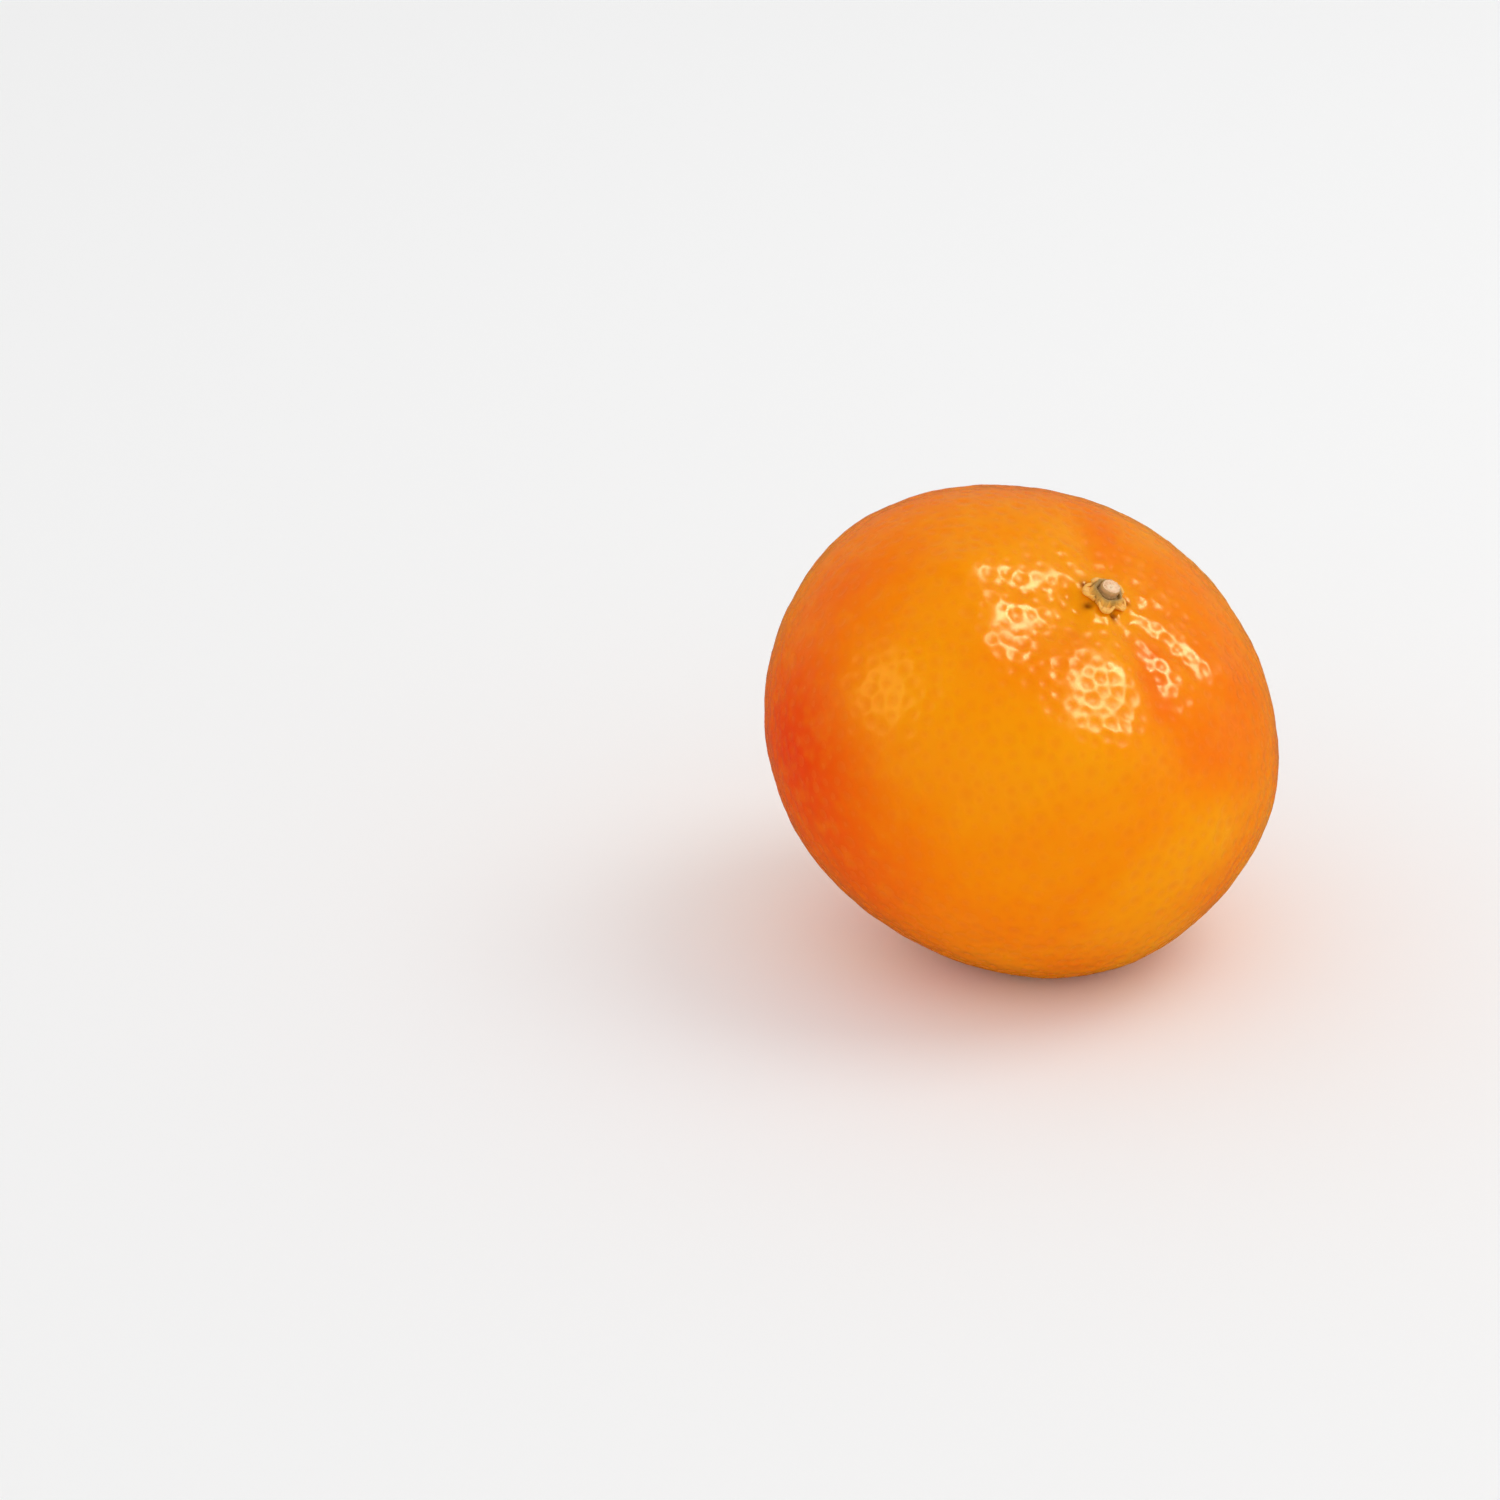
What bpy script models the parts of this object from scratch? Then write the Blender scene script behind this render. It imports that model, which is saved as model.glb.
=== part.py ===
"""A whole mandarin with its calyx and clipped stem, lying tilted on a small flat spot.

Run it with: blender --background --python part.py, or from Blender's text editor.
Lengths are metres and +Z is up. The origin is on the surface that the fruit rests on,
under the middle of its bounding box. The fruit's own axis runs from its blossom end to
its stem end, and leans from upright towards -Y.

The peel is shaped in the fruit's own frame: its +Z is the fruit's axis towards the stem,
a polar angle of 0 is the stem end, and azimuths turn about the axis from +X.
"""

import math

import bmesh
import bpy
from mathutils import Matrix, Vector

MM = 0.001

# Driving dimensions
FRUIT_DIAMETER = 64.0 * MM
HEIGHT_TO_DIAMETER = 0.86
LEAN = math.radians(30.5)
FLAT_DEPTH = 1.4 * MM  # how far the resting spot is pressed in
CALYX_RADIUS = 2.95 * MM  # to the tips of its lobes
STEM_RADIUS = 1.2 * MM
FIT_GAP = 0.3 * MM  # clearance kept between neighbouring solids

# The peel's spheroid and where it stands
EQUATOR_RADIUS = FRUIT_DIAMETER / 2
POLE_RADIUS = EQUATOR_RADIUS * HEIGHT_TO_DIAMETER
LOWEST_REACH = math.hypot(EQUATOR_RADIUS * math.sin(LEAN), POLE_RADIUS * math.cos(LEAN))
CENTRE_HEIGHT = LOWEST_REACH - FLAT_DEPTH
FRUIT_TO_WORLD = Matrix.Translation((0, 0, CENTRE_HEIGHT)) @ Matrix.Rotation(LEAN, 4, "X")

# The hollow round the calyx and the shallower one at the blossom end
BASIN_DEPTH = 3.58 * MM  # measured from the equator
BASIN_RADIUS = 18.1 * MM
BLOSSOM_DEPTH = 0.7 * MM
BLOSSOM_RADIUS = 5.5 * MM

# The resting spot: how softly its rim is rounded, how far that rounding is pressed flat,
# and how high up the peel the press is felt
SPOT_SOFTNESS = 0.35 * MM
SPOT_PRESS = 0.25 * MM
SPOT_REACH = 12.0 * MM

# Furrows run outwards from the calyx. They deepen between the first two distances from the
# fruit's axis, widen up to the third, and die away over the last part of their reach.
FURROW_START = 2.2 * MM
FURROW_FULL = 5.2 * MM
FURROW_OPEN = 8.0 * MM
FURROW_PINCH = 0.4  # width on the axis, as a share of the full width
FURROW_FADE = 0.35  # share of the reach at which a furrow starts to die away
# Each furrow: azimuth in degrees, then depth (below 0 it is a ridge), half width and reach
FURROWS = (
    (178, 1.10 * MM, 4.5 * MM, 27 * MM),
    (-155, -0.12 * MM, 0.8 * MM, 15 * MM),
    (-100, 0.67 * MM, 2.5 * MM, 27 * MM),
    (-71, 0.55 * MM, 1.7 * MM, 26 * MM),
    (-38, 0.36 * MM, 1.8 * MM, 16 * MM),
    (-4, 0.25 * MM, 1.4 * MM, 13 * MM),
    (31, 0.33 * MM, 1.7 * MM, 15 * MM),
    (61, 0.44 * MM, 1.9 * MM, 19 * MM),
    (99, 0.25 * MM, 1.5 * MM, 14 * MM),
    (143.5, 0.54 * MM, 2.2 * MM, 30 * MM),
)

# Broad swellings and flatter places: polar angle and azimuth in degrees, height, spread in degrees
LUMPS = (
    (130, -150, -0.45 * MM, 20),
    (112, -101, 0.35 * MM, 17),
    (76, -57, 0.43 * MM, 15),
    (45, 15, 0.21 * MM, 20),
    (51, 63, -0.24 * MM, 18),
    (75, 102, 0.43 * MM, 18),
    (88, 20, -0.26 * MM, 22),
    (125, 60, 0.30 * MM, 24),
    (96, 158, 0.14 * MM, 20),
    (42, -124, 0.88 * MM, 7.6),
    (44, -144, 0.88 * MM, 8.4),
    (36, 172.5, 0.90 * MM, 6.2),
    (34, 138, 0.90 * MM, 8.3),
    (33, -63, 0.80 * MM, 6.9),
)

# The calyx: a cup that holds the stem, a collar round it and five lobes
LOBES = 5
LOBE_AZIMUTH = math.radians(143)
LOBE_WAIST = 0.70  # radius between two lobes, as a share of the radius at their tips
LOBE_FULLNESS = 0.8  # below 1, the lobes are broader than the gaps between them
CALYX_CUP_THICKNESS = 0.45 * MM
CALYX_COLLAR_THICKNESS = 0.95 * MM
CALYX_LOBE_THICKNESS = 0.55 * MM
CALYX_RIM_THICKNESS = 0.30 * MM
CALYX_COLLAR_RADIUS = STEM_RADIUS + 0.65 * MM
CALYX_COLLAR_WIDTH = 0.35 * MM
STEM_HEIGHT = 0.9 * MM
STEM_BARK = 0.16 * MM  # thickness of the rind round the clipped end
STEM_WAIST = 0.93  # radius half way up, as a share of the radius at its ends

# How finely the solids are divided
PEEL_SEGMENTS = 84
PEEL_RINGS = 54
PEEL_POLE_CROWDING = 0.2
CALYX_SEGMENTS = 60
CALYX_RINGS = 20
STEM_STEPS = 32
MERGE_DISTANCE = 0.01 * MM


def clear_scene():
    """Remove every object of the startup scene."""
    for obj in list(bpy.data.objects):
        bpy.data.objects.remove(obj)


def new_collection(name):
    """A collection linked to the scene."""
    collection = bpy.data.collections.new(name)
    bpy.context.scene.collection.children.link(collection)
    return collection


def new_material(name, colour, roughness):
    """A plain Principled material."""
    material = bpy.data.materials.new(name)
    material.use_nodes = True
    shader = material.node_tree.nodes["Principled BSDF"]
    shader.inputs["Base Color"].default_value = (*colour, 1.0)
    shader.inputs["Roughness"].default_value = roughness
    shader.inputs["Metallic"].default_value = 0.0
    return material


def smooth_step(start, end, value):
    """0 up to start, 1 from end, and an eased rise between them."""
    share = min(1.0, max(0.0, (value - start) / (end - start)))
    return share * share * (3 - 2 * share)


def hump(distance, width):
    """A bell curve of height 1."""
    return math.exp(-((distance / width) ** 2))


BASIN_REST = hump(EQUATOR_RADIUS, BASIN_RADIUS)  # what the basin's bell still has at the equator


def turn_between(first, second):
    """The signed angle from one azimuth to another, between -pi and pi."""
    return (second - first + math.pi) % (2 * math.pi) - math.pi


def furrow_relief(from_axis, azimuth):
    """How far the furrows lower the peel at a distance from the fruit's axis."""
    relief = 0.0
    narrowing = FURROW_PINCH + (1 - FURROW_PINCH) * smooth_step(0, FURROW_OPEN, from_axis)
    for degrees, depth, half_width, reach in FURROWS:
        across = from_axis * turn_between(math.radians(degrees), azimuth)
        rise = smooth_step(FURROW_START, FURROW_FULL, from_axis)
        fade = 1 - smooth_step(FURROW_FADE * reach, reach, from_axis)
        relief -= depth * hump(across, half_width * narrowing) * rise * fade
    return relief


def lump_relief(direction):
    """The broad swellings and flatter places at a unit direction from the centre."""
    relief = 0.0
    for polar, azimuth, height, spread in LUMPS:
        middle = unit_direction(math.radians(polar), math.radians(azimuth))
        relief += height * hump(direction.angle(middle, 0.0), math.radians(spread))
    return relief


def unit_direction(polar, azimuth):
    """The point of the unit sphere at these two angles."""
    ring = math.sin(polar)
    return Vector((ring * math.cos(azimuth), ring * math.sin(azimuth), math.cos(polar)))


def peel_point(polar, azimuth):
    """A point of the peel in the fruit's own frame, before the resting spot is pressed in."""
    direction = unit_direction(polar, azimuth)
    stretch = Vector((EQUATOR_RADIUS, EQUATOR_RADIUS, POLE_RADIUS))
    point = direction * stretch
    normal = Vector(part / length for part, length in zip(direction, stretch)).normalized()
    from_axis = EQUATOR_RADIUS * math.sin(polar)
    relief = lump_relief(direction)
    if polar < math.pi / 2:
        relief -= BASIN_DEPTH * (hump(from_axis, BASIN_RADIUS) - BASIN_REST)
        relief += furrow_relief(from_axis, azimuth)
    else:
        relief -= BLOSSOM_DEPTH * hump(from_axis, BLOSSOM_RADIUS)
    return point + normal * relief


def seat_height(from_axis, azimuth):
    """How high the peel stands along the fruit's axis, near the calyx."""
    return peel_point(math.asin(from_axis / EQUATOR_RADIUS), azimuth).z


def ease_onto_floor(point):
    """Round the peel gently down to the resting spot, which a flat cut then finishes."""
    world = FRUIT_TO_WORLD @ point
    lift = (math.hypot(world.z, 2 * SPOT_SOFTNESS) - world.z) / 2
    press = SPOT_PRESS * (1 - smooth_step(0, SPOT_REACH, world.z))
    world.z += lift - press
    return FRUIT_TO_WORLD.inverted() @ world


def sphere_mesh(segments, rings):
    """A unit sphere as a bmesh, with its poles on the Z axis."""
    mesh = bmesh.new()
    bmesh.ops.create_uvsphere(mesh, u_segments=segments, v_segments=rings, radius=1.0)
    return mesh


def add_mesh_object(name, mesh, collection, material):
    """Turn a bmesh into a smooth object of the collection."""
    data = bpy.data.meshes.new(name)
    mesh.to_mesh(data)
    mesh.free()
    data.shade_smooth()
    data.materials.append(material)
    obj = bpy.data.objects.new(name, data)
    collection.objects.link(obj)
    return obj


def make_fruit(collection, material):
    """The whole fruit in its peel: one solid, as it grew."""
    mesh = sphere_mesh(PEEL_SEGMENTS, PEEL_RINGS)
    for vertex in mesh.verts:
        polar = math.acos(max(-1.0, min(1.0, vertex.co.z)))
        azimuth = math.atan2(vertex.co.y, vertex.co.x)
        polar -= PEEL_POLE_CROWDING * math.sin(2 * polar)
        vertex.co = ease_onto_floor(peel_point(polar, azimuth))
    return add_mesh_object("fruit", mesh, collection, material)


def make_floor_cutter(collection):
    """A block under the resting surface, which cuts the flat spot."""
    mesh = bmesh.new()
    bmesh.ops.create_cube(mesh, size=1.0)
    side = 1.5 * FRUIT_DIAMETER
    thickness = FRUIT_DIAMETER / 6
    bmesh.ops.transform(mesh, verts=mesh.verts, matrix=Matrix.Diagonal((side, side, thickness, 1)))
    data = bpy.data.meshes.new("floor_cutter")
    mesh.to_mesh(data)
    mesh.free()
    cutter = bpy.data.objects.new("floor_cutter", data)
    cutter.location.z = -thickness / 2
    cutter.hide_render = True
    cutter.display_type = "WIRE"
    collection.objects.link(cutter)
    return cutter


def cut(obj, cutter):
    """Take the cutter's shape out of the object."""
    modifier = obj.modifiers.new("flat_spot", "BOOLEAN")
    modifier.operation = "DIFFERENCE"
    modifier.solver = "EXACT"
    modifier.object = cutter


def calyx_outline(azimuth):
    """The calyx's radius at an azimuth, widest at the tips of its lobes."""
    lobe = 0.5 + 0.5 * math.cos(LOBES * (azimuth - LOBE_AZIMUTH))
    return CALYX_RADIUS * (LOBE_WAIST + (1 - LOBE_WAIST) * lobe**LOBE_FULLNESS)


def calyx_thickness(from_axis):
    """The calyx's thickness: a thin cup in the middle, a raised collar and thin lobes."""
    outwards = smooth_step(CALYX_COLLAR_RADIUS, CALYX_RADIUS, from_axis)
    lobe = CALYX_LOBE_THICKNESS + (CALYX_RIM_THICKNESS - CALYX_LOBE_THICKNESS) * outwards
    collar = hump(from_axis - CALYX_COLLAR_RADIUS, CALYX_COLLAR_WIDTH)
    body = CALYX_CUP_THICKNESS if from_axis < CALYX_COLLAR_RADIUS else lobe
    return body + (CALYX_COLLAR_THICKNESS - body) * collar


def make_calyx(collection, material):
    """The star of dried sepals that sits in the fruit's basin."""
    mesh = sphere_mesh(CALYX_SEGMENTS, CALYX_RINGS)
    for vertex in mesh.verts:
        azimuth = math.atan2(vertex.co.y, vertex.co.x)
        from_axis = calyx_outline(azimuth) * math.hypot(vertex.co.x, vertex.co.y)
        underside = seat_height(from_axis, azimuth) + FIT_GAP
        level = math.copysign(math.sqrt(abs(vertex.co.z)), vertex.co.z)
        half_rim = CALYX_RIM_THICKNESS / 2
        above = half_rim if level < 0 else calyx_thickness(from_axis) - half_rim
        height = underside + half_rim + above * level
        vertex.co = (from_axis * math.cos(azimuth), from_axis * math.sin(azimuth), height)
    return add_mesh_object("calyx", mesh, collection, material)


def make_stem(collection, material):
    """The clipped end of the fruit's stalk, standing in the calyx's cup."""
    foot = seat_height(0.0, 0.0) + 2 * FIT_GAP + CALYX_CUP_THICKNESS
    top = foot + STEM_HEIGHT
    profile = (
        (0.0, top - STEM_BARK),
        (STEM_RADIUS - 2 * STEM_BARK, top - STEM_BARK),
        (STEM_RADIUS - STEM_BARK, top),
        (STEM_RADIUS - STEM_BARK / 4, top - STEM_BARK / 2),
        (STEM_RADIUS, top - 2 * STEM_BARK),
        (STEM_RADIUS * STEM_WAIST, foot + STEM_HEIGHT / 2),
        (STEM_RADIUS, foot + STEM_BARK),
        (STEM_RADIUS - STEM_BARK, foot),
        (0.0, foot),
    )
    data = bpy.data.meshes.new("stem")
    edges = [(start, start + 1) for start in range(len(profile) - 1)]
    data.from_pydata([(radius, 0.0, height) for radius, height in profile], edges, [])
    data.materials.append(material)
    stem = bpy.data.objects.new("stem", data)
    collection.objects.link(stem)
    turn = stem.modifiers.new("turned", "SCREW")
    turn.axis = "Z"
    turn.steps = STEM_STEPS
    turn.render_steps = STEM_STEPS
    turn.use_merge_vertices = True
    turn.merge_threshold = MERGE_DISTANCE
    turn.use_smooth_shade = True
    return stem


def main():
    """Build the mandarin."""
    clear_scene()
    parts = new_collection("mandarin")
    cutters = new_collection("cutters")
    peel = new_material("peel", (0.95, 0.27, 0.008), 0.38)
    sepal = new_material("sepal", (0.30, 0.22, 0.06), 0.7)
    wood = new_material("stem_wood", (0.58, 0.50, 0.38), 0.8)

    axis = bpy.data.objects.new("fruit_axis", None)
    axis.matrix_world = FRUIT_TO_WORLD
    parts.objects.link(axis)

    fruit = make_fruit(parts, peel)
    calyx = make_calyx(parts, sepal)
    stem = make_stem(parts, wood)
    for piece in (fruit, calyx, stem):
        piece.parent = axis
    cut(fruit, make_floor_cutter(cutters))


main()
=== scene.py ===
"""The looks of a whole mandarin: its dimpled peel, its star-shaped calyx and its clipped stem.

Lengths are metres and +Z is up. The fruit is shaped in its own frame, whose +Z runs from the
blossom end to the stem, and is then leaned towards -Y and set down on its flat spot.
Colours are linear.
"""

import logging
import math
from collections.abc import Callable, Mapping, Sequence
from dataclasses import dataclass, field
from enum import Enum
from typing import Union

import bmesh
import bpy
from mathutils import Matrix, Vector, noise


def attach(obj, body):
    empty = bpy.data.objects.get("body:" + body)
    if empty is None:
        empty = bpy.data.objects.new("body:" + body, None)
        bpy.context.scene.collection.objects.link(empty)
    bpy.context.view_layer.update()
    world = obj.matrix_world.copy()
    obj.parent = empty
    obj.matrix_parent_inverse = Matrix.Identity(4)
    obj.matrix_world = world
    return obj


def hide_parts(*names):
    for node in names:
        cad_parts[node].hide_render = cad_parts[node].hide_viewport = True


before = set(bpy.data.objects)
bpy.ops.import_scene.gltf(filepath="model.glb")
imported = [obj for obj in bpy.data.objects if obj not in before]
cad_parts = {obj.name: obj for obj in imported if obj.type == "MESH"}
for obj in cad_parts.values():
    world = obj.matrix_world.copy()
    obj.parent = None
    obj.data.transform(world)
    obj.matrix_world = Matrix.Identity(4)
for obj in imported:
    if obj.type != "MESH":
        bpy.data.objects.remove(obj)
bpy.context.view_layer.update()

log = logging.getLogger("mandarin")

MM = 0.001

Colour = tuple[float, float, float]
Number = Union["Term", float]
Inputs = Mapping[Union[str, int], object]
Profile = Sequence[tuple[float, float]]


class Body(Enum):
    """The part's moving bodies."""

    ROOT = "root"


class CadNode(Enum):
    """The solids that the fine pieces stand for."""

    FRUIT = "fruit"
    CALYX = "calyx"
    STEM = "stem"


class Slot(Enum):
    """The record's material slots."""

    PEEL = "peel"
    SEPAL = "sepal"
    WOOD = "stem_wood"


class Step(Enum):
    """The steps of a formula in a node tree."""

    ADD = "ADD"
    SUBTRACT = "SUBTRACT"
    MULTIPLY = "MULTIPLY"
    DIVIDE = "DIVIDE"
    POWER = "POWER"
    SQUARE_ROOT = "SQRT"
    EXPONENT = "EXPONENT"
    SINE = "SINE"
    COSINE = "COSINE"
    ARC_COSINE = "ARCCOSINE"
    ARC_TANGENT = "ARCTAN2"
    LARGER = "MAXIMUM"
    BELOW = "LESS_THAN"
    WRAP = "WRAP"


class VectorStep(Enum):
    """The steps of a formula that works on vectors."""

    ADD = "ADD"
    MULTIPLY = "MULTIPLY"
    DIVIDE = "DIVIDE"
    TANGENT = "TANGENT"
    UNIT = "NORMALIZE"
    SCALE = "SCALE"
    DOT = "DOT_PRODUCT"
    LENGTH = "LENGTH"


class SocketKind(Enum):
    """What a tree's named input holds."""

    NUMBER = "NodeSocketFloat"
    COUNT = "NodeSocketInt"
    VECTOR = "NodeSocketVector"
    GEOMETRY = "NodeSocketGeometry"
    MATERIAL = "NodeSocketMaterial"


def sign(step: Step, turned: bool = False) -> Callable[["Term", Number], "Term"]:
    """Make the method behind one sign of arithmetic.

    Args:
        step: What the sign does.
        turned: Whether the term stands after the sign.

    Returns:
        The method.
    """

    def joined(term: "Term", other: Number) -> "Term":
        """Join the term and another value by the sign."""
        pair = (other, term) if turned else (term, other)
        return term.weaver.math(step, *pair)

    return joined


class Term:
    """A value that runs through a node tree, so that a formula there reads as one."""

    def __init__(self, weaver: "Weaver", socket: bpy.types.NodeSocket) -> None:
        """Keep the tree's weaver and the socket that gives the value.

        Args:
            weaver: The weaver of the tree that the value runs through.
            socket: The output socket that gives the value.
        """
        self.weaver = weaver
        self.socket = socket

    __add__ = sign(Step.ADD)
    __radd__ = sign(Step.ADD, turned=True)
    __sub__ = sign(Step.SUBTRACT)
    __rsub__ = sign(Step.SUBTRACT, turned=True)
    __mul__ = sign(Step.MULTIPLY)
    __rmul__ = sign(Step.MULTIPLY, turned=True)
    __truediv__ = sign(Step.DIVIDE)


class Weaver:
    """Adds nodes to a tree and joins them."""

    def __init__(self, tree: bpy.types.NodeTree) -> None:
        """Keep the tree.

        Args:
            tree: The tree that the nodes go into.
        """
        self.tree = tree

    def feed(self, node: bpy.types.Node, inputs: Inputs) -> None:
        """Join terms to a node's input sockets, or set the sockets' own values.

        Args:
            node: The node.
            inputs: What each socket gets, by name or place.
        """
        for key, value in inputs.items():
            if isinstance(value, Term):
                self.tree.links.new(value.socket, node.inputs[key])
            else:
                node.inputs[key].default_value = value

    def add(self, kind: str, inputs: Inputs, **settings: object) -> bpy.types.Node:
        """Add one node.

        Args:
            kind: Blender's name for the node's type.
            inputs: What its input sockets get, by name or place.
            settings: The node's own properties.

        Returns:
            The new node.
        """
        node = self.tree.nodes.new(kind)
        for name, value in settings.items():
            setattr(node, name, value)
        self.feed(node, inputs)
        return node

    def term(
        self, kind: str, inputs: Inputs, output: Union[str, int] = 0, **settings: object
    ) -> Term:
        """Add one node and take one of its outputs.

        Args:
            kind: Blender's name for the node's type.
            inputs: What its input sockets get, by name or place.
            output: The output's name or place.
            settings: The node's own properties.

        Returns:
            The output as a term.
        """
        return Term(self, self.add(kind, inputs, **settings).outputs[output])

    def math(self, step: Step, *values: Number) -> Term:
        """One step of arithmetic.

        Args:
            step: What to do.
            values: What to do it with.

        Returns:
            The result.
        """
        return self.term("ShaderNodeMath", dict(enumerate(values)), operation=step.value)

    def vector_math(self, step: VectorStep, *values: object) -> Term:
        """One step of arithmetic on vectors.

        Args:
            step: What to do.
            values: Vectors as terms or triples, and after them a scale where the step has one.

        Returns:
            The resulting vector, or number for a dot product or a length.
        """
        inputs: Inputs = dict(enumerate(values))
        if step is VectorStep.SCALE:
            inputs = {0: values[0], "Scale": values[1]}
        gives_number = step in (VectorStep.DOT, VectorStep.LENGTH)
        output = "Value" if gives_number else "Vector"
        return self.term("ShaderNodeVectorMath", inputs, output, operation=step.value)

    def vector(self, *parts: Number) -> Term:
        """A vector from its three parts."""
        return self.term("ShaderNodeCombineXYZ", dict(enumerate(parts)))

    def parts(self, vector: Term) -> tuple[Term, Term, Term]:
        """A vector's three parts."""
        node = self.add("ShaderNodeSeparateXYZ", {0: vector})
        x, y, z = (Term(self, socket) for socket in node.outputs)
        return x, y, z

    def polar(self, x: Term, y: Term) -> tuple[Term, Term]:
        """How far a point is from the Z axis, and its angle round it."""
        from_axis = self.math(Step.SQUARE_ROOT, x * x + y * y)
        return from_axis, self.math(Step.ARC_TANGENT, y, x)

    def rise(
        self, value: Term, start: Number, end: Number, low: float = 0.0, high: float = 1.0
    ) -> Term:
        """An eased change from low at start to high at end.

        Args:
            value: What the change follows.
            start: Where the change starts.
            end: Where it ends.
            low: The result at the start.
            high: The result at the end.

        Returns:
            The eased value.
        """
        inputs = {
            "Value": value,
            "From Min": start,
            "From Max": end,
            "To Min": low,
            "To Max": high,
        }
        return self.term("ShaderNodeMapRange", inputs, interpolation_type="SMOOTHSTEP")

    def bell(self, distance: Term, width: Number) -> Term:
        """A bell curve of height 1.

        Args:
            distance: How far it is from the bell's middle.
            width: Where the bell has sunk to about a third.

        Returns:
            The bell's height there.
        """
        share = distance / width
        return self.math(Step.EXPONENT, share * share * -1.0)

    def grain(self, place: Term, size: float, detail: float = 2.0) -> Term:
        """Smooth noise between 0 and 1.

        Args:
            place: The position that it is read at.
            size: The size of its blobs.
            detail: How many finer layers it has.

        Returns:
            The noise at that place.
        """
        inputs = {"Vector": place, "Scale": 1 / size, "Detail": detail}
        return self.term("ShaderNodeTexNoise", inputs)

    def sway(self, place: Term, size: float, height: Number) -> Term:
        """Plain noise that goes half of a height up and down.

        Args:
            place: The position that it is read at.
            size: The size of its waves.
            height: How far its lowest and highest places can be apart.

        Returns:
            The height there.
        """
        return (self.grain(place, size, 1.0) - 0.5) * height


class GeometryGroup(Weaver):
    """A geometry tree with named inputs for its sizes."""

    def __init__(self, name: str) -> None:
        """Make an empty tree.

        Args:
            name: The tree's name.
        """
        super().__init__(bpy.data.node_groups.new(name, "GeometryNodeTree"))
        self.entry = self.tree.nodes.new("NodeGroupInput")
        self.sockets: dict[str, str] = {}
        self.values: dict[str, object] = {}

    def input(self, name: str, value: object, kind: SocketKind = SocketKind.NUMBER) -> Term:
        """Add a named input.

        Args:
            name: The input's name.
            value: What a modifier that carries this tree sets it to, or None.
            kind: What it holds.

        Returns:
            The input as a term.
        """
        socket = self.tree.interface.new_socket(
            name=name, in_out="INPUT", socket_type=kind.value
        )
        self.sockets[name] = socket.identifier
        self.values[name] = value
        return Term(self, self.entry.outputs[name])

    def sizes(self, owner: object, *names: str) -> list[Term]:
        """Add an input for each number that an object holds under a name.

        Args:
            owner: The object.
            names: The names of its fields, each a size or a whole count.

        Returns:
            The inputs as terms.
        """
        terms = []
        for name in names:
            value = getattr(owner, name)
            kind = SocketKind.COUNT if isinstance(value, int) else SocketKind.NUMBER
            terms.append(self.input(name, value, kind))
        return terms

    def blanks(self, *names: str) -> list[Term]:
        """Add inputs that are fed by the tree which uses this group."""
        return [self.input(name, None) for name in names]

    def random(self, span: tuple[float, float], seed: Term) -> Term:
        """A fixed random number for each point.

        Args:
            span: The smallest and the largest number.
            seed: What fixes the draw.

        Returns:
            The number.
        """
        inputs = {2: span[0], 3: span[1], "Seed": seed}
        return self.term("FunctionNodeRandomValue", inputs, 1, data_type="FLOAT")

    def close(self, value: Term, kind: SocketKind = SocketKind.GEOMETRY) -> None:
        """Give the tree its one output.

        Args:
            value: What comes out.
            kind: What it holds.
        """
        self.tree.interface.new_socket(name="Result", in_out="OUTPUT", socket_type=kind.value)
        self.add("NodeGroupOutput", {0: value})

    def close_surface(self, geometry: Term, material: bpy.types.Material) -> None:
        """End the tree with one real, smooth and painted mesh.

        Args:
            geometry: What the tree has made.
            material: The material that it gets.
        """
        painted = self.input("material", material, SocketKind.MATERIAL)
        whole = self.term("GeometryNodeRealizeInstances", {0: geometry})
        smooth = self.term("GeometryNodeSetShadeSmooth", {0: whole})
        self.close(self.term("GeometryNodeSetMaterial", {0: smooth, "Material": painted}))

    def use(self, group: "GeometryGroup", inputs: Mapping[str, object]) -> Term:
        """Put a smaller group into this tree.

        Args:
            group: The smaller group.
            inputs: What its named inputs get.

        Returns:
            Its output.
        """
        return self.term("GeometryNodeGroup", inputs, node_tree=group.tree)

    def bake(self, obj: bpy.types.Object) -> bpy.types.Object:
        """Run the tree on an object and keep the result as its plain mesh.

        Args:
            obj: The object, with the mesh that the tree starts from.

        Returns:
            The same object.
        """
        modifier = obj.modifiers.new(self.tree.name, "NODES")
        modifier.node_group = self.tree
        for name, identifier in self.sockets.items():
            if self.values[name] is not None:
                modifier[identifier] = self.values[name]
        depsgraph = bpy.context.evaluated_depsgraph_get()
        mesh = bpy.data.meshes.new_from_object(obj.evaluated_get(depsgraph))
        obj.modifiers.clear()
        obj.data = mesh
        return obj


@dataclass(frozen=True)
class Furrow:
    """A furrow that runs out from the calyx."""

    azimuth: float
    depth: float
    half_width: float
    reach: float


@dataclass(frozen=True)
class Swelling:
    """A broad swelling of the peel, or a flatter place where its height is below 0."""

    polar: float
    azimuth: float
    height: float
    spread: float


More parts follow.
